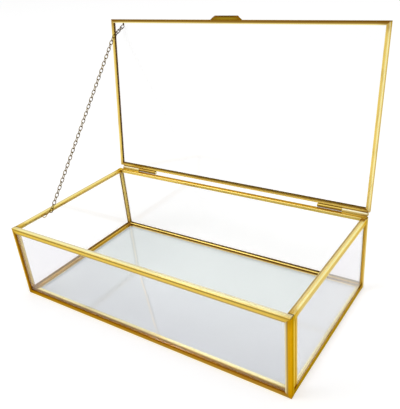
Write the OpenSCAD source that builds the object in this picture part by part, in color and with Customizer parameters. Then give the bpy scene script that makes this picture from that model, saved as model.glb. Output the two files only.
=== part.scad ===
// Glass casket box: a box of clear panes framed in soldered brass came, with a
// hinged glass lid that a fine chain holds open.
// Millimetres, +Z up. The origin is the centre of the footprint, on the underside.
// The front, where the lid is lifted, faces -Y. Everything on the lid is drawn with
// the lid shut and then swung open about the hinge pins.

/* [Box] */
// Width of the box, side to side
box_w = 200; // [120:1:300]
// Depth of the box, front to back
box_d = 109; // [90:1:160]
// Height of the box without its lid
box_h = 51.5; // [44:0.5:90]

/* [Glass] */
// Thickness of every pane
glass_t = 1.8; // [1.5:0.1:2.1]
// Clearance between a pane and the metal round it
glass_play = 0.05; // [0.03:0.01:0.08]

/* [Came] */
// Thickness of the brass strip that the came is bent from
came_wall = 0.45; // [0.35:0.05:0.55]
// Width of each face of an edge came
came_w = 3.4; // [3.2:0.1:4.2]
// Metal between the two pane slots of an edge came
came_neck = 0.35; // [0.25:0.05:0.45]
// Depth of the rim's inner lip
rim_lip_h = 2.3; // [1.6:0.1:3]
// Rounding of the came's outer edges
came_round = 0.4; // [0.2:0.05:0.5]
// Depth of the lid's came, from its outer edge inwards
lid_came_d = 2.4; // [1.6:0.1:3]

/* [Lid] */
// How far the lid stands open, from shut
lid_open = 97.6; // [85:0.1:110]
// Gap between the shut lid and the rim
lid_seat = 0.1; // [0.05:0.01:0.2]

/* [Hinges] */
// Length of each hinge along the back edge
hinge_len = 32; // [20:1:45]
// Inset of the left hinge from the left side
hinge_inset_left = 3; // [1.5:0.5:20]
// Inset of the right hinge from the right side
hinge_inset_right = 1; // [0.8:0.1:20]
// Outer radius of the rolled knuckles
knuckle_r = 1.3; // [1.1:0.05:1.5]
// Gap between a knuckle and the frame behind it
knuckle_play = 0.1; // [0.08:0.01:0.2]
// Height of the hinge pin's axis over the rim
hinge_up = 0.7; // [0.5:0.1:0.9]
// Thickness of the leaves that the knuckles are rolled from
leaf_t = 0.5; // [0.4:0.05:0.6]
// Height of the leaf soldered to the back of the box
leaf_h = 3.4; // [2.5:0.1:5]
// Radius of the hinge pin
pin_r = 0.6; // [0.45:0.05:0.65]
// Radial clearance of the pin in its knuckles
pin_play = 0.04; // [0.02:0.01:0.06]
// Gap between two knuckles, and between a knuckle and a pin head
knuckle_gap = 0.2; // [0.1:0.05:0.4]
// Radius of the pin's domed heads
pin_head_r = 1.1; // [0.9:0.05:1.2]
// Height of the pin's domed heads
pin_head_h = 0.5; // [0.3:0.05:0.7]

/* [Lift tab] */
// Width of the tab where it is soldered to the lid
tab_w = 23.4; // [14:0.2:40]
// Width of the tab at its tip
tab_tip_w = 17; // [8:0.5:22]
// How far the tab is set off centre to the left
tab_left = 4.2; // [0:0.2:30]
// Thickness of the tab
tab_t = 0.5; // [0.4:0.05:0.8]
// Flat part of the tab in front of the lid
tab_flat = 1.3; // [0.8:0.1:5]
// Inner radius of the tab's turned-up lip
tab_curl_r = 0.9; // [0.5:0.1:2]
// How far the lip turns up
tab_curl_angle = 55; // [20:5:90]

/* [Chain] */
// Diameter of the chain's wire
chain_wire = 0.5; // [0.4:0.05:0.6]
// Inside width of a link
link_inner_w = 1.6; // [1.4:0.1:2]
// Spacing that the links are made as near to as fits the chain
link_spacing = 2.69; // [2.4:0.01:3.2]
// Slack between two linked links
link_slack = 0.05; // [0.03:0.01:0.08]
// How far the free chain is twisted about its own length
chain_twist = 20; // [0:1:22]
// Free gap between the chain's plane and the links soldered to the rim
chain_side_gap = 0.1; // [0.05:0.05:0.5]
// Distance of the chain's lower end behind the front face
chain_low_back = 28.6; // [15:0.1:60]
// Depth of the chain's lower end below the rim's top
chain_low_down = 0.6; // [0.5:0.1:2]
// Distance of the free chain's upper end behind the lid's front edge
chain_high_back = 12.2; // [11:0.1:20]
// Drop of the free chain's upper end under the shut lid
chain_high_drop = 5.8; // [4:0.1:8]
// Distance of the chain's solder point on the lid from the lid's side
chain_point_in = 11.7; // [8:0.1:16]
// Number of links between that point and the free chain
top_links = 5; // [3:2:7]
// Number of links soldered to the rim at the chain's lower end
low_links = 2; // [2:1:4]
// How far those links slope down towards the front
low_links_slope = 14; // [5:1:20]
// How far those links lean away from the rim, each the other way
low_links_lean = 30; // [30:1:40]
// Solder between the links and the metal that they are fixed to
solder_gap = 0.03; // [0.02:0.01:0.06]
// How far the chain's first link hangs behind the lid's front frame
solder_tail = 2.1; // [1.9:0.1:2.6]
// Reach of the bend in those first links, towards the back
chain_bend_out = 3; // [2.6:0.1:3.4]
// Depth of that bend
chain_bend_down = 2; // [1.5:0.1:2.4]

/* [Hidden] */

$fn = 32;
over = 1; // how far a cutting shape reaches past what it cuts

slot_out = came_wall + glass_play; // outer face of a pane, from the outside
slot_in = slot_out + glass_t + glass_play; // inner side of a pane's slot
core = slot_in + came_neck; // the came's solid heart
pane_edge = core + glass_play; // edge of a pane, from the outside
bead_round = 0.75 * (came_w - slot_in); // round of the came's inner bead
lip_round = 0.4 * (came_w - slot_in); // round of the rim lip's lower edge
rim_pane_top = box_h - slot_out; // top edge of the four wall panes

lid_t = slot_in + came_wall; // thickness of the lid's frame
lid_z = box_h + lid_seat; // underside of the shut lid
lid_top = lid_z + lid_t;

hinge_y = box_d / 2 + knuckle_r + knuckle_play;
hinge_z = box_h + hinge_up;
knuckle_len = (hinge_len - knuckle_gap) / 2;
leaf_back = -knuckle_r - knuckle_play; // the frame's back face, seen from the pin
head_ball_r = (pin_head_r * pin_head_r + pin_head_h * pin_head_h) / (2 * pin_head_h);

// A link is two half rings joined by two straight rods.
link_end_r = (link_inner_w + chain_wire) / 2;
link_out_w = link_inner_w + 2 * chain_wire;
low_reach = link_end_r * sin(low_links_lean); // of a soldered link, from its middle
low_x = -box_w / 2 + came_w + solder_gap + chain_wire / 2 + low_reach; // their middles
chain_reach = link_end_r * cos(chain_twist); // of a free link, from its middle
chain_x = low_x + low_reach + chain_side_gap + chain_wire + chain_reach;

// The free chain is taut between its two ends while the lid is open.
chain_low = [-box_d / 2 + chain_low_back, box_h - chain_low_down];
chain_high_shut = [-box_d / 2 + chain_high_back, lid_z - chain_high_drop];
chain_high = swung(chain_high_shut);
chain_len = norm(chain_high - chain_low);
chain_runs = 8;
run_links = 2 * round(chain_len / (2 * chain_runs * link_spacing));
pitch = chain_len / (chain_runs * run_links);
// The straight side of a link is made to a hundredth of a millimetre.
link_side = round(100 * (pitch + link_slack + chain_wire - 2 * link_end_r)) / 100;
link_half = link_side / 2 + link_end_r; // middle of a link to its end wire
link_lead = pitch - link_half; // a pivot to the middle of the next link
chain_angle = atan2(chain_low[1] - chain_high[1], chain_low[0] - chain_high[0]);

brass = "gold";
old_brass = "darkgoldenrod";
glass = [0.85, 0.9, 0.92, 0.35];

// Where a point [y, z] on the shut lid goes when the lid is swung open.
function swung(p) = let (y = p[0] - hinge_y, z = p[1] - hinge_z)
    [hinge_y + y * cos(lid_open) + z * sin(lid_open),
     hinge_z - y * sin(lid_open) + z * cos(lid_open)];

// Point t on the bend from p through c to q, with t from 0 to 1.
function bend(p, c, q, t) = (1 - t) * (1 - t) * p + 2 * t * (1 - t) * c + t * t * q;

module swing_open() {
    translate([0, hinge_y, hinge_z]) rotate([-lid_open, 0, 0])
        translate([0, -hinge_y, -hinge_z]) children();
}

// What a round of radius r takes off a corner at the origin.
module corner_cut(r) {
    difference() {
        translate([-over, -over]) square(r + over);
        translate([r, r]) circle(r);
    }
}

// Edge came in section, its outer corner at the origin: two outer flanges, a solid
// heart between the two pane slots and a rounded bead inside.
module came_section() {
    difference() {
        union() {
            square([came_w, came_wall]);
            square([came_wall, came_w]);
            square(core);
            translate([slot_in, slot_in]) square(came_w - slot_in);
        }
        corner_cut(came_round);
        translate([came_w, came_w]) rotate(180) corner_cut(bead_round);
    }
}

// Rim channel in section, upside down: outer flange, cap and a short inner lip.
module rim_section() {
    difference() {
        union() {
            square([came_wall, came_w]);
            square([came_w, came_wall]);
            translate([slot_in, 0]) square([came_w - slot_in, rim_lip_h]);
        }
        corner_cut(came_round);
        translate([came_w, 0]) rotate(90) corner_cut(came_round);
        translate([came_w, rim_lip_h]) rotate(180) corner_cut(lip_round);
        translate([slot_in, rim_lip_h]) rotate(-90) corner_cut(lip_round);
    }
}

// Lid channel in section, its mouth towards +X.
module lid_section() {
    difference() {
        square([lid_came_d, lid_t]);
        translate([came_wall, came_wall]) square([lid_came_d, lid_t - 2 * came_wall]);
        corner_cut(came_round);
        translate([0, lid_t]) rotate(-90) corner_cut(came_round);
    }
}

// A section run along X over the whole width, starting at the front face.
module along_front(length) {
    translate([-length / 2, -box_d / 2, 0]) rotate([90, 0, 90]) linear_extrude(length) children();
}

// A section run along Y on the left side, between two cross pieces of the given width.
module along_left(cross) {
    translate([-box_w / 2, box_d / 2 - cross, 0]) rotate([90, 0, 0])
        linear_extrude(box_d - 2 * cross) children();
}

// Halves of the square corner at the origin of the XZ plane, cut along its diagonal.
module mitre(upper) {
    far = came_w + over;
    translate([0, came_w + over, 0]) rotate([90, 0, 0]) linear_extrude(came_w + 2 * over)
        polygon(upper ? [[-over, -over], [far, far], [-over, far]]
                      : [[-over, -over], [far, -over], [far, far]]);
}

module bottom_front_rail() {
    color(brass) difference() {
        along_front(box_w) came_section();
        for (side = [0, 1]) mirror([side, 0, 0])
            translate([-box_w / 2, -box_d / 2, 0]) mitre(true);
    }
}

module bottom_side_rail() {
    color(brass) along_left(came_w) came_section();
}

// The rim's lip stops where the side pane stands in its slot.
module top_front_rail() {
    color(brass) translate([0, 0, box_h]) mirror([0, 0, 1]) difference() {
        along_front(box_w) rim_section();
        for (side = [0, 1]) mirror([side, 0, 0]) translate([-box_w / 2, -box_d / 2, 0]) {
            mitre(true);
            translate([-over, slot_out, came_wall]) cube([slot_in + over, came_w, came_w]);
        }
    }
}

module top_side_rail() {
    color(brass) translate([0, 0, box_h]) mirror([0, 0, 1]) along_left(came_w) rim_section();
}

module post() {
    color(brass) difference() {
        translate([-box_w / 2, -box_d / 2, 0]) linear_extrude(box_h) came_section();
        translate([-box_w / 2, -box_d / 2, 0]) mitre(false);
        translate([-box_w / 2, -box_d / 2, box_h]) mirror([0, 0, 1]) mitre(false);
    }
}

module floor_glass() {
    color(glass) translate([-box_w / 2 + pane_edge, -box_d / 2 + pane_edge, slot_out])
        cube([box_w - 2 * pane_edge, box_d - 2 * pane_edge, glass_t]);
}

module front_glass() {
    color(glass) translate([-box_w / 2 + pane_edge, -box_d / 2 + slot_out, pane_edge])
        cube([box_w - 2 * pane_edge, glass_t, rim_pane_top - pane_edge]);
}

module left_glass() {
    color(glass) translate([-box_w / 2 + slot_out, -box_d / 2 + pane_edge, pane_edge])
        cube([glass_t, box_d - 2 * pane_edge, rim_pane_top - pane_edge]);
}

module lid_glass() {
    color(glass) swing_open()
        translate([-box_w / 2 + slot_out, -box_d / 2 + slot_out, lid_z + slot_out])
            cube([box_w - 2 * slot_out, box_d - 2 * slot_out, glass_t]);
}

// Wedges that mitre the end of a lid rail in plan, at the lid's front left corner.
module lid_mitre(front) {
    far = lid_came_d + over;
    translate([-box_w / 2, -box_d / 2, lid_z - over]) linear_extrude(lid_t + 2 * over)
        polygon(front ? [[-over, -over], [far, far], [-over, far]]
                      : [[-over, -over], [far, far], [far, -over]]);
}

module lid_cross_rail() {
    color(brass) difference() {
        translate([0, 0, lid_z]) along_front(box_w) lid_section();
        for (side = [0, 1]) mirror([side, 0, 0]) lid_mitre(true);
    }
}

module lid_side_rail() {
    color(brass) difference() {
        translate([0, 0, lid_z]) along_left(0) lid_section();
        for (end = [0, 1]) mirror([0, end, 0]) lid_mitre(false);
    }
}

// Knuckle of the box: the leaf lies on the back of the rim and rolls round the pin.
module box_knuckle_section() {
    difference() {
        union() {
            circle(knuckle_r);
            translate([-knuckle_r, -hinge_up - over]) square([leaf_t, hinge_up + over]);
            translate([leaf_back, -hinge_up - leaf_h]) square([leaf_t, leaf_h]);
        }
        circle(pin_r + pin_play);
    }
}

// Knuckle of the lid: its leaf goes up the back of the lid's frame.
module lid_knuckle_section() {
    difference() {
        union() {
            circle(knuckle_r);
            translate([leaf_back, 0]) square([leaf_t, lid_top - hinge_z]);
        }
        circle(pin_r + pin_play);
    }
}

// A section run along the hinge axis from x.
module on_hinge(x, length) {
    translate([x, hinge_y, hinge_z]) rotate([90, 0, 90]) linear_extrude(length) children();
}

// The box's knuckle is the outer one of each hinge, the lid's the inner one.
module box_knuckle_left() {
    color(old_brass) on_hinge(-box_w / 2 + hinge_inset_left, knuckle_len) box_knuckle_section();
}

module box_knuckle_right() {
    color(old_brass) on_hinge(box_w / 2 - hinge_inset_right - knuckle_len, knuckle_len)
        box_knuckle_section();
}

module lid_knuckle_left() {
    color(old_brass) swing_open()
        on_hinge(-box_w / 2 + hinge_inset_left + hinge_len - knuckle_len, knuckle_len)
            lid_knuckle_section();
}

module lid_knuckle_right() {
    color(old_brass) swing_open()
        on_hinge(box_w / 2 - hinge_inset_right - hinge_len, knuckle_len) lid_knuckle_section();
}

// Pin from x, with a domed head at each end of the knuckles.
module hinge_pin(x) {
    reach = hinge_len + 2 * knuckle_gap;
    color(old_brass) translate([x - knuckle_gap, hinge_y, hinge_z]) rotate([0, 90, 0]) {
        cylinder(r = pin_r, h = reach);
        for (end = [0, 1]) translate([0, 0, end * reach]) mirror([0, 0, 1 - end])
            intersection() {
                translate([0, 0, pin_head_h - head_ball_r]) sphere(head_ball_r, $fn = 48);
                cylinder(r = pin_head_r, h = pin_head_h);
            }
    }
}

// The leaves, tongue and lip are one bent strip; its ends slant in towards the tip.
module lift_tab() {
    lip_z = lid_top + tab_t + tab_curl_r;
    outer = tab_curl_r + tab_t;
    tip = tab_flat + outer * sin(tab_curl_angle);
    color("peru") swing_open() translate([-tab_left, -box_d / 2, 0]) intersection() {
        translate([-tab_w / 2, 0, 0]) rotate([90, 0, 90]) linear_extrude(tab_w) {
            translate([-tab_flat, lid_top]) square([tab_flat + lid_came_d, tab_t]);
            translate([-tab_flat, lip_z]) intersection() {
                difference() {
                    circle(outer);
                    circle(tab_curl_r);
                }
                polygon([[0, 0], [0, -2 * outer], [-2 * outer, -2 * outer],
                         [-2 * outer * sin(tab_curl_angle), -2 * outer * cos(tab_curl_angle)]]);
            }
        }
        translate([0, 0, lid_top - over]) linear_extrude(outer + tab_t + 2 * over)
            polygon([[-tab_w / 2, lid_came_d], [tab_w / 2, lid_came_d], [tab_w / 2, 0],
                     [tab_tip_w / 2, -tip], [-tab_tip_w / 2, -tip], [-tab_w / 2, 0]]);
    }
}

// Half of a link's round end, bulging towards +Y.
module half_ring() {
    reach = 2 * link_end_r;
    intersection() {
        rotate_extrude() translate([link_end_r, 0]) circle(d = chain_wire, $fn = 20);
        translate([-reach, 0, -over]) cube([2 * reach, reach, 2 * over]);
    }
}

// One link, its length along Y and flat in the XY plane.
module link() {
    for (side = [-1, 1]) translate([side * link_end_r, 0, 0]) rotate([90, 0, 0])
        cylinder(d = chain_wire, h = link_side, center = true, $fn = 20);
    for (side = [0, 1]) mirror([0, side, 0]) translate([0, link_side / 2, 0]) half_ring();
}

// Run number i of the free chain, from its own pivot down to the next one. Its first
// link stands across the pin line and its last holds the next run's pivot.
module chain_run(i) {
    start = chain_high + (chain_low - chain_high) * (i - 1) / chain_runs;
    color("olive") translate([chain_x, start[0], start[1]]) rotate([chain_angle, 0, 0])
        for (k = [0 : run_links - 1])
            translate([0, link_lead + k * pitch, 0])
                rotate([0, (k % 2 == 0 ? 90 : 0) - chain_twist, 0]) link();
}

// The last links lie against the inside of the rim, each leaning the other way, and
// each is soldered down by its lower side. The free chain folds past them.
module chain_lower_end() {
    seat = link_end_r * cos(low_links_lean);
    color(brass) translate([low_x, chain_low[0], chain_low[1]])
        rotate([180 + low_links_slope, 0, 0]) for (k = [0 : low_links - 1])
            translate([0, link_lead + k * pitch, 0]) {
                rotate([0, (k % 2 == 0 ? 1 : -1) * (90 - low_links_lean), 0]) link();
                translate([-low_reach - chain_wire / 2 - solder_gap, 0, k % 2 == 0 ? seat : -seat])
                    rotate([0, 90, 0]) cylinder(d = 2.2 * chain_wire, h = 0.7 * chain_wire);
            }
}

// A tail of solder on the lid's frame holds the first link. From there a few links
// hang in a bend to the free chain, and the last one's end wire is its first pivot.
module chain_upper_end() {
    lip_y = -box_d / 2 + lid_came_d;
    first = [-box_w / 2 + chain_point_in, lip_y + solder_tail, lid_z - 0.6 * chain_wire];
    final = [chain_x, chain_high_shut[0], chain_high_shut[1]];
    middle = [(first[0] + final[0]) / 2, first[1] + chain_bend_out, first[2] - chain_bend_down];
    color("olive") swing_open() {
        for (k = [0 : top_links - 1]) {
            p = bend(first, middle, final, k / top_links);
            q = bend(first, middle, final, (k + 1) / top_links);
            v = q - p;
            centre = k < top_links - 1 ? (p + q) / 2 : final - link_half * v / norm(v);
            translate(centre) rotate([0, 0, -atan2(v[0], v[1])])
                rotate([atan2(v[2], norm([v[0], v[1]])), 0, 0])
                    rotate([0, k % 2 == 0 ? 0 : 90, 0]) link();
        }
        translate([first[0] - chain_wire, lip_y, lid_z])
            cube([2 * chain_wire, solder_tail - chain_wire, came_wall]);
    }
}

floor_glass();
front_glass();
mirror([0, 1, 0]) front_glass();  // back_glass
left_glass();
mirror([1, 0, 0]) left_glass();  // right_glass
bottom_front_rail();  // front_bottom_rail
mirror([0, 1, 0]) bottom_front_rail();  // back_bottom_rail
bottom_side_rail();  // left_bottom_rail
mirror([1, 0, 0]) bottom_side_rail();  // right_bottom_rail
top_front_rail();  // front_top_rail
mirror([0, 1, 0]) top_front_rail();  // back_top_rail
top_side_rail();  // left_top_rail
mirror([1, 0, 0]) top_side_rail();  // right_top_rail
post();  // front_left_post
mirror([1, 0, 0]) post();  // front_right_post
mirror([0, 1, 0]) post();  // back_left_post
mirror([1, 0, 0]) mirror([0, 1, 0]) post();  // back_right_post
box_knuckle_left();
box_knuckle_right();
hinge_pin(-box_w / 2 + hinge_inset_left);  // hinge_pin_left
hinge_pin(box_w / 2 - hinge_inset_right - hinge_len);  // hinge_pin_right
chain_lower_end();
lid_glass();
swing_open() lid_cross_rail();  // lid_front_rail
swing_open() mirror([0, 1, 0]) lid_cross_rail();  // lid_back_rail
swing_open() lid_side_rail();  // lid_left_rail
swing_open() mirror([1, 0, 0]) lid_side_rail();  // lid_right_rail
lid_knuckle_left();
lid_knuckle_right();
lift_tab();
chain_upper_end();
chain_run(1);  // chain_run_1
chain_run(2);  // chain_run_2
chain_run(3);  // chain_run_3
chain_run(4);  // chain_run_4
chain_run(5);  // chain_run_5
chain_run(6);  // chain_run_6
chain_run(7);  // chain_run_7
chain_run(8);  // chain_run_8
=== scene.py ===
import math
import random

import bmesh
import bpy
from mathutils import Matrix, Vector


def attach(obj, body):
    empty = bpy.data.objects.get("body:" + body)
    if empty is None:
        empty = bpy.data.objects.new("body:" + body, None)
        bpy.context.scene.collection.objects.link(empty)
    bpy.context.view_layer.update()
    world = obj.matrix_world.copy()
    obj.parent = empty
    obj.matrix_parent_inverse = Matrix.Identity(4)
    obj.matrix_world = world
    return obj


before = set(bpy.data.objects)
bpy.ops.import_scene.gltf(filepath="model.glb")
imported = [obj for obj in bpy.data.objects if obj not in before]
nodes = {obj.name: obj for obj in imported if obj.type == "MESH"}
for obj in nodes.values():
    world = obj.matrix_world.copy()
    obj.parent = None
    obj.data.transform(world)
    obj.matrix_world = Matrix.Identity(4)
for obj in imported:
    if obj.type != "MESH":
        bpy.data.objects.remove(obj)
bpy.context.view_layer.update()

# ---------------------------------------------------------------- camera
# The camera stands in front and to the right of the box, looking down at it, and is
# tipped a little about its own axis, as the photograph shows.
AZIMUTH = math.radians(36.351)
ELEVATION = math.radians(28.184)
ROLL = math.radians(-5.596)
DISTANCE = 0.325365
LOOKS_AT = Vector((0.013805, 0.0, 0.057027))
FOCAL_PX = 531.229
IMAGE_H = 409
CENTRE_ROW = 219.506  # picture row of the optical axis

toward_camera = Vector((
    math.sin(AZIMUTH) * math.cos(ELEVATION),
    -math.cos(AZIMUTH) * math.cos(ELEVATION),
    math.sin(ELEVATION),
))
lens = bpy.data.cameras.new("camera")
lens.sensor_width = 36
lens.lens = FOCAL_PX / IMAGE_H * lens.sensor_width
lens.shift_y = (CENTRE_ROW - IMAGE_H / 2) / IMAGE_H
lens.clip_start, lens.clip_end = 0.01, 20
camera = bpy.data.objects.new("camera", lens)
bpy.context.scene.collection.objects.link(camera)
turn = (-toward_camera).to_track_quat("-Z", "Y") @ Matrix.Rotation(ROLL, 3, "Z").to_quaternion()
camera.rotation_mode = "QUATERNION"
camera.rotation_quaternion = turn
camera.location = LOOKS_AT + toward_camera * DISTANCE
bpy.context.scene.camera = camera

# ---------------------------------------------------------------- light and floor
# A white table in a bright room: a wide soft lamp above and to the left, a weaker one
# to the right, and a floor that is white where the box throws no shadow.
ROOM_LIGHT = 0.64
FLOOR_GLOW = 0.44
FLOOR_HALF = 4.0
bpy.context.scene.view_settings.view_transform = "Standard"


def new_material(name):
    """An empty node material; returns it with its nodes and a function that links sockets."""
    material = bpy.data.materials.new(name)
    material.use_nodes = True
    tree = material.node_tree
    tree.nodes.clear()
    return material, tree.nodes, tree.links.new


def reckon(place, join, operation, *parts):
    """One step of arithmetic on sockets and numbers; returns the socket of its result."""
    step = place.new("ShaderNodeMath")
    step.operation = operation
    for socket, part in zip(step.inputs, parts):
        if isinstance(part, bpy.types.NodeSocket):
            join(part, socket)
        else:
            socket.default_value = part
    return step.outputs[0]


def remap(place, join, value, takes=(0.0, 1.0), gives=(0.0, 1.0), fade="LINEAR"):
    """Stretches a value from one range to another; returns the socket of its result."""
    step = place.new("ShaderNodeMapRange")
    step.interpolation_type = fade
    step.inputs["From Min"].default_value, step.inputs["From Max"].default_value = takes
    step.inputs["To Min"].default_value, step.inputs["To Max"].default_value = gives
    join(value, step.inputs["Value"])
    return step.outputs[0]


def seen_ray(place, join):
    """1 for camera, glossy and transmission rays, which show the white background."""
    path = place.new("ShaderNodeLightPath").outputs
    both = reckon(place, join, "MAXIMUM", path["Is Camera Ray"], path["Is Glossy Ray"])
    return reckon(place, join, "MAXIMUM", both, path["Is Transmission Ray"])


world = bpy.data.worlds.new("room")
bpy.context.scene.world = world
world.use_nodes = True
place, join = world.node_tree.nodes, world.node_tree.links.new
place.clear()
sky = place.new("ShaderNodeBackground")
sky.inputs["Color"].default_value = (1, 1, 1, 1)
join(remap(place, join, seen_ray(place, join), gives=(ROOM_LIGHT, 1.0)), sky.inputs["Strength"])
join(sky.outputs[0], place.new("ShaderNodeOutputWorld").inputs["Surface"])

table_mesh = bmesh.new()
bmesh.ops.create_grid(table_mesh, x_segments=1, y_segments=1, size=FLOOR_HALF)
table_data = bpy.data.meshes.new("table_top")
table_mesh.to_mesh(table_data)
table_mesh.free()
table_top = bpy.data.objects.new("table_top", table_data)
bpy.context.scene.collection.objects.link(table_top)
table_white, place, join = new_material("white_table")
matt = place.new("ShaderNodeBsdfDiffuse")
matt.inputs["Color"].default_value = (0.8, 0.8, 0.8, 1)
glow = place.new("ShaderNodeEmission")
join(reckon(place, join, "MULTIPLY", seen_ray(place, join), FLOOR_GLOW), glow.inputs["Strength"])
both = place.new("ShaderNodeAddShader")
join(matt.outputs[0], both.inputs[0])
join(glow.outputs[0], both.inputs[1])
join(both.outputs[0], place.new("ShaderNodeOutputMaterial").inputs["Surface"])
table_data.materials.append(table_white)


def soft_lamp(name, stands_at, size, power):
    """A square lamp that faces the middle of the box."""
    lamp = bpy.data.lights.new(name, "AREA")
    lamp.size = size
    lamp.energy = power
    lamp_object = bpy.data.objects.new(name, lamp)
    bpy.context.scene.collection.objects.link(lamp_object)
    lamp_object.location = stands_at
    aim = Vector((0, 0, 0.05)) - Vector(stands_at)
    lamp_object.rotation_euler = aim.to_track_quat("-Z", "Y").to_euler()


soft_lamp("lamp_left", (-1.3, -1.0, 2.0), 1.0, 9.0)
soft_lamp("lamp_right", (1.6, -0.4, 1.3), 0.7, 3.0)

# ---------------------------------------------------------------- floor pane
# The floor is one thin pane of greyish picture glass that lies in the bottom came. Its grey
# is partly the glass's own tint and partly painted shade, darkening the table seen under the
# box. It has smears that dull it a little, and a faint unevenness of colour.
GLASS_IOR = 1.46


def tone(red, green, blue):
    """A colour given by its values on a screen, 0 to 255, as linear light."""
    steps = [value / 255 for value in (red, green, blue)]
    return tuple(((s + 0.055) / 1.055) ** 2.4 if s > 0.04045 else s / 12.92 for s in steps)


def dress(material, *names):
    """Gives CAD nodes a material in place of the plain one they came with."""
    for name in names:
        nodes[name].data.materials.clear()
        nodes[name].data.materials.append(material)


def new_group(name, vectors, numbers, outputs):
    """An empty node group; returns it, its nodes, its linking function and its two ends."""
    group = bpy.data.node_groups.new(name, "ShaderNodeTree")
    for names, kind in ((vectors, "NodeSocketVector"), (numbers, "NodeSocketFloat")):
        for socket in names:
            group.interface.new_socket(socket, in_out="INPUT", socket_type=kind)
    for socket in outputs:
        group.interface.new_socket(socket, in_out="OUTPUT", socket_type="NodeSocketFloat")
    given, result = group.nodes.new("NodeGroupInput"), group.nodes.new("NodeGroupOutput")
    return group, group.nodes, group.links.new, given.outputs, result.inputs


# smears and uneven colour on glass that hands have touched
handled_glass, place, join, given, result = new_group("handled_glass", ["Vector"], [],
                                                      ["Smears", "Cloud"])
for out, scale, detail, twist in (("Smears", 34.0, 5.0, 1.6), ("Cloud", 9.0, 2.0, 0.3)):
    noise = place.new("ShaderNodeTexNoise")
    noise.inputs["Scale"].default_value = scale
    noise.inputs["Detail"].default_value = detail
    noise.inputs["Distortion"].default_value = twist
    join(given["Vector"], noise.inputs["Vector"])
    join(remap(place, join, noise.outputs["Fac"], takes=(0.35, 0.7)), result[out])


def pane_glass(name, clear_tone, cloudy_tone, smears=0.03):
    """Thin glass: light passes it, tinted, and its smears are a little rougher."""
    material, place, join = new_material(name)
    touched = place.new("ShaderNodeGroup")
    touched.node_tree = handled_glass
    join(place.new("ShaderNodeTexCoord").outputs["Object"], touched.inputs["Vector"])
    cast = place.new("ShaderNodeMix")
    cast.data_type = "RGBA"
    cast.inputs["A"].default_value = (*clear_tone, 1)
    cast.inputs["B"].default_value = (*cloudy_tone, 1)
    join(touched.outputs["Cloud"], cast.inputs["Factor"])
    clear = place.new("ShaderNodeBsdfPrincipled")
    clear.inputs["Transmission Weight"].default_value = 1.0
    clear.inputs["IOR"].default_value = GLASS_IOR
    join(cast.outputs["Result"], clear.inputs["Base Color"])
    join(remap(place, join, touched.outputs["Smears"], gives=(0.0, smears)),
         clear.inputs["Roughness"])
    see_through = place.new("ShaderNodeBsdfTransparent")
    see_through.inputs["Color"].default_value = (*[c ** 0.5 for c in clear_tone], 1)
    mix = place.new("ShaderNodeMixShader")
    join(place.new("ShaderNodeLightPath").outputs["Is Shadow Ray"], mix.inputs[0])
    join(clear.outputs[0], mix.inputs[1])
    join(see_through.outputs[0], mix.inputs[2])
    join(mix.outputs[0], place.new("ShaderNodeOutputMaterial").inputs["Surface"])
    return material


dress(pane_glass("floor_pane", tone(232, 236, 235), tone(227, 231, 231)), "floor_glass")

# ---------------------------------------------------------------- bottom came
# Four lengths of drawn brass came, soldered at the corners, hold the floor pane. The
# front and back ones are mitred to the corner posts, and the side ones butt between
# them. Long bands of painted reflection, highlight and shade lie in the brass's colour,
# and soldering has stained its ends.
# Laid in bands, the pale and silvery tones here are painted highlights and reflections and the dark
# ones painted shade. The darkest also marks dark joints, and brown also the stain of soldering.
PALE = tone(255, 249, 190)
BRIGHT = tone(246, 220, 134)
STRAW = tone(230, 198, 96)
GOLD = tone(212, 158, 16)
AMBER = tone(180, 132, 44)
OLIVE = tone(164, 136, 62)
BROWN = tone(130, 78, 3)
DARK = tone(118, 86, 26)
DULL = tone(226, 206, 156)
SAND = tone(224, 186, 116)
SILVERY_HIGHLIGHT = tone(234, 228, 200)
SOOT_AND_SHADE = tone(74, 52, 16)
BRASS_EDGE = (0.9, 0.74, 0.28, 1)  # brass seen along its surface is paler, never white
BOX_W, BOX_D, BOX_H = 0.2, 0.109, 0.0515
CAME = 0.0034
PANE_TOP = 0.0023  # top of the floor pane
LEAF_T = 0.00008
LEAF_GAP = 0.00001
LEAF_WAVER = 0.00012
FRONT_LEAF, RIGHT_LEAF, BACK_LEAF, LEFT_LEAF = 0.0032, 0.0012, 0.0028, 0.0028
SEAM_NEAR, SEAM_FAR = 0.0002, 0.0005  # from a strip's end, where the joint's dark line fades
HEAT_REACH = 0.009
RELIEF_H = 0.00005
DRAWN_OUT = 0.02  # how much longer the drawing lines are than wide, as a scale

# fine drawing lines and soft waves along a strip, and tarnish in patches
drawn_strip, place, join, given, result = new_group("drawn_strip", ["Vector"], ["Fineness"],
                                                    ["Lines", "Waves", "Tarnish"])
for out, scale, detail in (("Lines", 1.0, 3.0), ("Waves", 0.12, 1.0), ("Tarnish", 0.3, 4.0)):
    noise = place.new("ShaderNodeTexNoise")
    noise.inputs["Detail"].default_value = detail
    join(given["Vector"], noise.inputs["Vector"])
    join(reckon(place, join, "MULTIPLY", given["Fineness"], scale), noise.inputs["Scale"])
    join(noise.outputs["Fac"], result[out])

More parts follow.
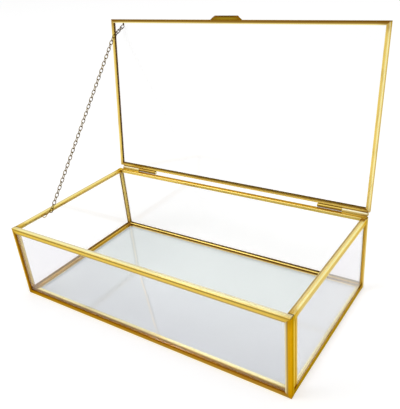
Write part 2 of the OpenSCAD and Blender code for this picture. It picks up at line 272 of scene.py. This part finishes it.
# the stain that soldering leaves: strong at a strip's ends, gone a reach away
solder_heat, place, join, given, result = new_group("solder_heat", ["Vector", "Run"],
                                                    ["Middle", "Half", "Reach"], ["Heat", "Seam"])
run = place.new("ShaderNodeVectorMath")
run.operation = "DOT_PRODUCT"
join(given["Vector"], run.inputs[0])
join(given["Run"], run.inputs[1])
from_middle = reckon(place, join, "ABSOLUTE",
                     reckon(place, join, "SUBTRACT", run.outputs["Value"], given["Middle"]))
gap = reckon(place, join, "SUBTRACT", given["Half"], from_middle)
join(remap(place, join, gap, takes=(SEAM_NEAR, SEAM_FAR), gives=(0.8, 0.0)), result["Seam"])
faded = remap(place, join, reckon(place, join, "DIVIDE", gap, given["Reach"]),
              gives=(1.0, 0.0), fade="SMOOTHSTEP")
blotch = place.new("ShaderNodeTexNoise")
blotch.inputs["Scale"].default_value = 420.0
blotch.inputs["Detail"].default_value = 3.0
join(given["Vector"], blotch.inputs["Vector"])
join(reckon(place, join, "MULTIPLY", faded, blotch.outputs["Fac"]), result["Heat"])


def blend(place, join, mode, share, under, over):
    """Mixes two colours by a share; returns the socket of the mixed colour."""
    mix = place.new("ShaderNodeMix")
    mix.data_type = "RGBA"
    mix.blend_type = mode
    for socket, part in (("Factor", share), ("A", under), ("B", over)):
        if isinstance(part, bpy.types.NodeSocket):
            join(part, mix.inputs[socket])
        else:
            mix.inputs[socket].default_value = part
    return mix.outputs["Result"]


def brass(name, along, across, start, bands, half, middle=0.0, roughness=0.17,
          fineness=2600.0, tarnish=0.35, stain=0.9, wander=0.5, burnt=BROWN):
    """Polished brass. Its drawing lines run along an axis (0, 1 or 2) and its bands,
    given as millimetres and colours, lie across it, counted from start. The bands paint
    highlights, reflections and shade into the brass's colour."""
    material, place, join = new_material(name)
    spot = place.new("ShaderNodeTexCoord").outputs["Object"]
    stretch = place.new("ShaderNodeMapping")
    stretch.inputs["Scale"].default_value = [DRAWN_OUT if axis == along else 1.0
                                             for axis in range(3)]
    join(spot, stretch.inputs["Vector"])
    strip = place.new("ShaderNodeGroup")
    strip.node_tree = drawn_strip
    strip.inputs["Fineness"].default_value = fineness
    join(stretch.outputs[0], strip.inputs["Vector"])
    # where the spot lies across the strip, in millimetres, with a little wander
    over = place.new("ShaderNodeVectorMath")
    over.operation = "DOT_PRODUCT"
    over.inputs[1].default_value = [1000 * part for part in across]
    join(spot, over.inputs[0])
    sway = reckon(place, join, "MULTIPLY_ADD", strip.outputs["Waves"], wander,
                  -1000 * start - wander / 2)
    lies_at = reckon(place, join, "ADD", over.outputs["Value"], sway)
    # the ramp paints highlights, reflections and shade into the base colour
    first, last = bands[0][0], bands[-1][0]
    banded = place.new("ShaderNodeValToRGB")
    stops = banded.color_ramp.elements
    while len(stops) < len(bands):
        stops.new(0.5)
    for stop, (at, colour) in zip(stops, bands):
        stop.position = (at - first) / (last - first)
        stop.color = (*colour, 1)
    join(remap(place, join, lies_at, takes=(first, last)), banded.inputs["Fac"])
    # tarnish in patches, and the stain of soldering at the ends
    patches = remap(place, join, strip.outputs["Tarnish"], takes=(0.5, 0.75), gives=(0.0, tarnish))
    heated = place.new("ShaderNodeGroup")
    heated.node_tree = solder_heat
    heated.inputs["Run"].default_value = [1.0 if axis == along else 0.0 for axis in range(3)]
    heated.inputs["Middle"].default_value = middle
    heated.inputs["Half"].default_value = half
    heated.inputs["Reach"].default_value = HEAT_REACH
    join(spot, heated.inputs["Vector"])
    marked = reckon(place, join, "MULTIPLY_ADD", heated.outputs["Heat"], stain, patches)
    marked.node.use_clamp = True
    stained = blend(place, join, "MIX", marked, banded.outputs["Color"], (*burnt, 1))
    seamed = blend(place, join, "MIX", heated.outputs["Seam"], stained, (*SOOT_AND_SHADE, 1))
    lines = strip.outputs["Lines"]
    lined = remap(place, join, lines, takes=(0.3, 0.7), gives=(0.92, 1.0))
    rough = remap(place, join, lines, takes=(0.3, 0.7), gives=(roughness * 0.7, roughness * 1.5))
    relief = place.new("ShaderNodeBump")
    relief.inputs["Strength"].default_value = 0.2
    relief.inputs["Distance"].default_value = RELIEF_H
    join(reckon(place, join, "MULTIPLY_ADD", strip.outputs["Waves"], 3.0, lines),
         relief.inputs["Height"])
    metal = place.new("ShaderNodeBsdfPrincipled")
    metal.inputs["Metallic"].default_value = 1.0
    metal.inputs["Specular Tint"].default_value = BRASS_EDGE
    join(blend(place, join, "MULTIPLY", 1.0, seamed, lined), metal.inputs["Base Color"])
    join(rough, metal.inputs["Roughness"])
    join(relief.outputs[0], metal.inputs["Normal"])
    join(metal.outputs[0], place.new("ShaderNodeOutputMaterial").inputs["Surface"])
    return material


# each came's bands are counted in millimetres round its fold, up and inwards alike
FRONT_BANDS = [(0.0, SILVERY_HIGHLIGHT), (0.4, BRIGHT), (0.9, OLIVE), (1.9, AMBER), (2.5, AMBER),
               (3.0, BROWN), (4.6, BROWN), (5.2, AMBER), (5.8, BROWN), (6.5, OLIVE),
               (7.1, BRIGHT), (7.6, PALE), (8.5, PALE), (9.1, SILVERY_HIGHLIGHT)]
RIGHT_BANDS = [(0.0, DULL), (0.8, OLIVE), (2.0, OLIVE), (2.8, AMBER), (3.2, AMBER), (4.6, OLIVE),
               (5.2, OLIVE), (5.6, STRAW), (6.0, BRIGHT), (6.2, PALE), (6.8, PALE), (7.2, SILVERY_HIGHLIGHT)]
BACK_BANDS = [(-0.4, SILVERY_HIGHLIGHT), (0.4, DULL), (1.1, OLIVE), (1.9, DARK), (2.4, DARK), (3.0, STRAW),
              (3.5, BRIGHT), (4.1, OLIVE), (4.8, DARK), (5.6, DARK)]
LEFT_BANDS = [(-1.2, SILVERY_HIGHLIGHT), (-0.4, DULL), (0.6, OLIVE), (1.4, OLIVE), (2.1, STRAW),
              (2.8, BRIGHT), (3.4, OLIVE), (4.1, DARK), (6.0, AMBER)]
inner_x, inner_y = BOX_W / 2 - CAME, BOX_D / 2 - CAME
front_low = brass("front_low_came", 0, (0, 1, 1), -BOX_D / 2, FRONT_BANDS, BOX_W / 2)
right_low = brass("right_low_came", 1, (-1, 0, 1), -BOX_W / 2, RIGHT_BANDS, inner_y)
back_low = brass("back_low_came", 0, (0, 1, 1), inner_y, BACK_BANDS, BOX_W / 2)
left_low = brass("left_low_came", 1, (-1, 0, 1), inner_x, LEFT_BANDS, inner_y)
dress(front_low, "front_bottom_rail")
dress(right_low, "right_bottom_rail")
dress(back_low, "back_bottom_rail")
dress(left_low, "left_bottom_rail")

random.seed(7)


def leaf(name, far_edge, near_edge, rise, material):
    """The came's thin inner edge, pressed on the glass: a strip from the came (far_edge,
    two points) to its own edge (near_edge), which wavers a little, thickened by rise."""
    mesh = bmesh.new()
    (a, b), (c, d) = ([Vector(p) for p in edge] for edge in (far_edge, near_edge))
    corners = [mesh.verts.new(p) for p in (a, b, d, c)]
    mesh.faces.new(corners)
    long_edges = [mesh.edges.get(corners[:2]), mesh.edges.get(corners[2:])]
    bmesh.ops.subdivide_edges(mesh, edges=long_edges, cuts=23, use_grid_fill=True)
    mesh.verts.ensure_lookup_table()
    width = c - a
    for vert in mesh.verts:
        along_share = (vert.co - c).dot(d - c) / (d - c).length_squared
        on_near = (vert.co - c - along_share * (d - c)).length < 1e-7
        if on_near and 0.01 < along_share < 0.99:
            vert.co += width.normalized() * random.uniform(-LEAF_WAVER, 0.0)
    raised = bmesh.ops.extrude_face_region(mesh, geom=mesh.faces[:])
    upper = [g for g in raised["geom"] if isinstance(g, bmesh.types.BMVert)]
    bmesh.ops.translate(mesh, verts=upper, vec=rise)
    bmesh.ops.recalc_face_normals(mesh, faces=mesh.faces[:])
    data = bpy.data.meshes.new(name)
    mesh.to_mesh(data)
    mesh.free()
    piece = bpy.data.objects.new(name, data)
    bpy.context.scene.collection.objects.link(piece)
    data.materials.append(material)
    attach(piece, "box")


leaf_z = PANE_TOP + LEAF_GAP
left_x, right_x = -inner_x + LEFT_LEAF, inner_x - RIGHT_LEAF
front_y, back_y = -inner_y + FRONT_LEAF, inner_y - BACK_LEAF
outer = [(-inner_x, -inner_y), (inner_x, -inner_y), (inner_x, inner_y), (-inner_x, inner_y)]
inner = [(left_x, front_y), (right_x, front_y), (right_x, back_y), (left_x, back_y)]
sides = (("front", front_low), ("right", right_low), ("back", back_low), ("left", left_low))
for number, (side, side_came) in enumerate(sides):
    following = (number + 1) % len(sides)
    leaf("floor_leaf_" + side, [(*outer[i], leaf_z) for i in (number, following)],
         [(*inner[i], leaf_z) for i in (number, following)], Vector((0, 0, LEAF_T)), side_came)

# ---------------------------------------------------------------- wall panes
# The four walls are clear picture glass cut to size, pushed into the came's slots. The
# front and right panes have the faintest lavender cast.
faint_lavender = pane_glass("lavender_pane", tone(243, 242, 245), tone(240, 238, 243))
clear_pane = pane_glass("clear_pane", tone(254, 254, 254), tone(252, 252, 252), 0.02)
dress(faint_lavender, "front_glass", "right_glass")
dress(clear_pane, "left_glass", "back_glass")

# ---------------------------------------------------------------- corner posts
# Four upright cames close the corners, mitred and soldered to the front and back ones.
# Three have a wider edge on the side pane: outside on the right, inside on the left.
RIGHT_PANE_OUT, LEFT_PANE_IN = 0.0995, -0.0977
FRONT_RIGHT_LEAF, FRONT_LEFT_LEAF, BACK_RIGHT_LEAF = 0.0046, 0.0019, 0.0032
half_h = BOX_H / 2
# the posts' bands are painted highlights, reflections and shade
post_bands = {
    "front_right": [(-3.4, SILVERY_HIGHLIGHT), (-2.7, DULL), (-2.0, OLIVE), (-1.4, GOLD), (1.1, GOLD),
                    (2.2, AMBER), (3.0, STRAW), (4.0, BRIGHT), (4.7, SAND), (5.2, AMBER),
                    (6.2, SAND), (7.4, DULL), (8.2, SILVERY_HIGHLIGHT)],
    "front_left": [(0.0, DULL), (0.6, STRAW), (1.4, AMBER), (2.4, BROWN), (4.3, BROWN),
                   (4.8, AMBER), (5.2, AMBER), (5.9, SAND), (6.6, BRIGHT), (7.2, SAND), (7.9, DULL)],
    "back_left": [(-4.4, SILVERY_HIGHLIGHT), (-3.2, OLIVE), (-2.4, DARK), (-1.8, DARK), (-1.0, STRAW),
                  (-0.3, BRIGHT), (0.2, BRIGHT), (0.9, STRAW), (1.6, DARK), (2.3, DARK), (2.8, OLIVE)],
    "back_right": [(-6.8, BROWN), (-5.6, DARK), (-4.9, OLIVE), (-4.2, SAND), (-3.3, DULL),
                   (-1.2, DULL), (0.0, SILVERY_HIGHLIGHT), (1.6, AMBER), (3.4, OLIVE)],
}
post_across = {
    "front_right": ((1, 1, 0), BOX_W / 2 - BOX_D / 2),
    "front_left": ((1, 1, 0), -BOX_W / 2 - BOX_D / 2),
    "back_left": ((1, 1, 0), inner_y - inner_x),
    "back_right": ((-1, 1, 0), BOX_D / 2 - BOX_W / 2),
}
post_leaves = {
    "front_right": (RIGHT_PANE_OUT, -1, FRONT_RIGHT_LEAF),
    "front_left": (LEFT_PANE_IN, -1, FRONT_LEFT_LEAF),
    "back_right": (RIGHT_PANE_OUT, 1, BACK_RIGHT_LEAF),
}
for corner, bands in post_bands.items():
    across, start = post_across[corner]
    upright = brass(corner + "_came", 2, across, start, bands, half_h, half_h, stain=0.7)
    dress(upright, corner + "_post")
    if corner in post_leaves:
        pane_x, end, width = post_leaves[corner]
        x = pane_x + LEAF_GAP
        came_y, own_y = end * inner_y, end * (inner_y - width)
        leaf(corner + "_leaf", [(x, came_y, z) for z in (CAME, BOX_H - CAME)],
             [(x, own_y, z) for z in (CAME, BOX_H - CAME)], Vector((LEAF_T, 0, 0)), upright)

# ---------------------------------------------------------------- rim
# The rim is folded brass channel that caps the walls: the front and back ones mitred to
# the posts, the side ones between them. Its bands hold the palest painted highlights and
# reflections on the box, with painted shade between.
FRONT_RIM = [(-3.4, DULL), (-2.9, OLIVE), (-2.3, STRAW), (-1.3, STRAW), (-0.8, OLIVE),
             (-0.3, OLIVE), (0.2, BRIGHT), (0.8, PALE), (1.7, PALE), (2.3, SILVERY_HIGHLIGHT), (3.4, SILVERY_HIGHLIGHT)]
RIGHT_RIM = [(-3.4, SILVERY_HIGHLIGHT), (-2.6, OLIVE), (-2.2, DULL), (-1.5, BRIGHT), (-0.7, PALE),
             (0.0, PALE), (0.5, BRIGHT), (1.2, DULL), (2.8, DULL), (3.4, SILVERY_HIGHLIGHT)]
BACK_RIM = [(-3.4, PALE), (-2.4, BRIGHT), (-1.6, STRAW), (-0.9, STRAW), (-0.2, BRIGHT), (0.6, STRAW),
            (1.5, STRAW), (2.2, BRIGHT), (3.0, PALE), (3.6, PALE)]
LEFT_RIM = [(-3.4, SILVERY_HIGHLIGHT), (-2.6, DULL), (-1.6, PALE), (-0.2, BRIGHT), (0.4, STRAW), (1.2, OLIVE),
            (1.8, DULL), (3.4, PALE)]
WARM = tone(198, 152, 22)
dress(brass("front_rim", 0, (0, 1, 1), BOX_H - BOX_D / 2, FRONT_RIM, BOX_W / 2, stain=0.8,
            burnt=WARM), "front_top_rail")
dress(brass("right_rim", 1, (1, 0, -1), BOX_W / 2 - BOX_H, RIGHT_RIM, inner_y, stain=1.4,
            burnt=WARM), "right_top_rail")
dress(brass("back_rim", 0, (0, 1, 1), inner_y + BOX_H, BACK_RIM, BOX_W / 2, tarnish=0.2,
            burnt=WARM), "back_top_rail")
dress(brass("left_rim", 1, (1, 0, -1), -inner_x - BOX_H, LEFT_RIM, inner_y, stain=1.4,
            burnt=WARM), "left_top_rail")

# ---------------------------------------------------------------- hinges
# Each hinge is rolled from two brass leaves on a headed pin. One bright line of painted
# highlight runs along its rolls, with dark bands of painted shade below it.
HINGE_Y, HINGE_Z = 0.0559, 0.0522
ROLL_TILT = 0.3
LEAF_BRASS = [(-4.2, DARK), (-2.4, BROWN), (-1.2, OLIVE), (-0.4, DULL), (0.3, PALE),
              (0.9, SILVERY_HIGHLIGHT), (1.6, BRIGHT), (2.4, AMBER)]
OLIVE_BRASS = [(-4.2, DARK), (-2.0, BROWN), (-0.9, DARK), (0.1, OLIVE), (0.7, STRAW),
               (1.2, OLIVE), (2.4, AMBER)]
across_roll, roll_start = (0, ROLL_TILT, 1), HINGE_Z + ROLL_TILT * HINGE_Y
box_half = brass("hinge_box_half", 0, across_roll, roll_start, LEAF_BRASS, BOX_W / 2,
                 roughness=0.24, tarnish=0.6, stain=0.3)
lid_half = brass("hinge_lid_half", 0, across_roll, roll_start, OLIVE_BRASS, BOX_W / 2,
                 roughness=0.28, tarnish=0.7, stain=0.3)
dress(box_half, "box_knuckle_left", "box_knuckle_right", "hinge_pin_left", "hinge_pin_right")
dress(lid_half, "lid_knuckle_left", "lid_knuckle_right")

# ---------------------------------------------------------------- lid
# The lid is one clear pane in a frame of narrow brass channel, mitred and soldered. The
# bands, painted highlights and shade, are counted in the plane of the open lid.
LID_OPEN = math.radians(97.6)
LID_FOOT = Vector((0, 0.05554, 0.05371))  # lowest edge of the lid's inner face
LID_UP = Vector((0, -math.cos(LID_OPEN), math.sin(LID_OPEN)))
LID_INWARD = Vector((0, -math.sin(LID_OPEN), -math.cos(LID_OPEN)))
LID_LEN = 0.1089
LID_MIDDLE = 0.107  # height of the middle of the open lid's side channels
# a russet tone of painted shade in the lid's bands
RUSSET_SHADE = tone(152, 112, 42)
LID_LEFT = [(0.0, PALE), (0.5, BRIGHT), (1.8, STRAW), (2.4, OLIVE), (2.9, RUSSET_SHADE), (4.8, BROWN),
            (6.0, OLIVE)]
LID_RIGHT = [(-2.4, BRIGHT), (-1.7, STRAW), (-1.0, BRIGHT), (-0.5, PALE), (0.0, BRIGHT),
             (0.8, DULL), (2.8, OLIVE)]
LID_TOP = [(-2.4, PALE), (-2.0, BRIGHT), (-1.6, OLIVE), (-1.1, RUSSET_SHADE), (-0.7, DARK), (0.6, DARK),
           (2.6, OLIVE)]
LID_LOW = [(-0.6, PALE), (-0.1, DULL), (0.3, STRAW), (1.0, STRAW), (1.5, OLIVE), (2.1, DARK),
           (5.0, RUSSET_SHADE)]
side_across = Vector((1, 0, 0)) - LID_INWARD
flat_across = LID_UP - LID_INWARD
inner_face = LID_FOOT.dot(LID_INWARD)
foot = LID_FOOT.dot(flat_across)
dress(clear_pane, "lid_glass")
dress(brass("lid_left_channel", 2, side_across, -BOX_W / 2 - inner_face, LID_LEFT,
            LID_LEN / 2, LID_MIDDLE), "lid_left_rail")
dress(brass("lid_right_channel", 2, side_across, BOX_W / 2 - inner_face, LID_RIGHT,
            LID_LEN / 2, LID_MIDDLE), "lid_right_rail")
dress(brass("lid_top_channel", 0, flat_across, foot + LID_LEN, LID_TOP, BOX_W / 2),
      "lid_front_rail")
dress(brass("lid_low_channel", 0, flat_across, foot, LID_LOW, BOX_W / 2), "lid_back_rail")

# ---------------------------------------------------------------- lift tab
# The tab by which the lid is lifted is a short brass strip bent over a former and
# soldered on the front channel; its bend is painted dark as shade, its face is golden,
# and a pale band of painted highlight lies nearer the lid.
TAB_OUT = 0.0022  # reach of the tab past the lid
TAB_HALF, TAB_MIDDLE = 0.0117, -0.0042
TAB_FACE = tone(158, 128, 28)
TAB_BANDS = [(-5.2, SAND), (-3.0, PALE), (-2.3, TAB_FACE), (-1.0, TAB_FACE), (-0.5, SOOT_AND_SHADE),
             (0.0, SOOT_AND_SHADE)]
dress(brass("tab_brass", 0, LID_UP, LID_FOOT.dot(LID_UP) + LID_LEN + TAB_OUT, TAB_BANDS, TAB_HALF,
            TAB_MIDDLE, roughness=0.22, stain=1.2), "lift_tab")

# ---------------------------------------------------------------- chain
# The chain is drawn brass wire bent into links, olive brown with dark stripes of painted
# shade across it; the links soldered to the rim are lighter, banded with painted highlight
# and shade.
CHAIN_X, ANCHOR_X = -0.0949, -0.0966  # outer side of the free links, and of the soldered ones
UNSTAINED = 1.0  # a half length far past the chain, so that no end is stained by heat
BRONZE = tone(146, 124, 62)
CHAIN_BANDS = [(0.0, SOOT_AND_SHADE), (0.35, BRONZE), (0.7, SOOT_AND_SHADE), (1.0, BRONZE), (1.4, SOOT_AND_SHADE),
               (1.8, BRONZE), (2.2, SOOT_AND_SHADE)]
ANCHOR_BANDS = [(0.0, STRAW), (0.4, AMBER), (0.8, STRAW), (1.2, BROWN), (1.6, BRIGHT)]
chain_metal = brass("chain_brass", 2, (1, 0, 0), CHAIN_X, CHAIN_BANDS, UNSTAINED,
                    roughness=0.3, fineness=1400.0, tarnish=0.5, wander=1.4)
dress(chain_metal, "chain_upper_end", *[f"chain_run_{i}" for i in range(1, 9)])
dress(brass("anchor_brass", 1, (1, 0, 0), ANCHOR_X, ANCHOR_BANDS, UNSTAINED, roughness=0.25,
            wander=1.0), "chain_lower_end")
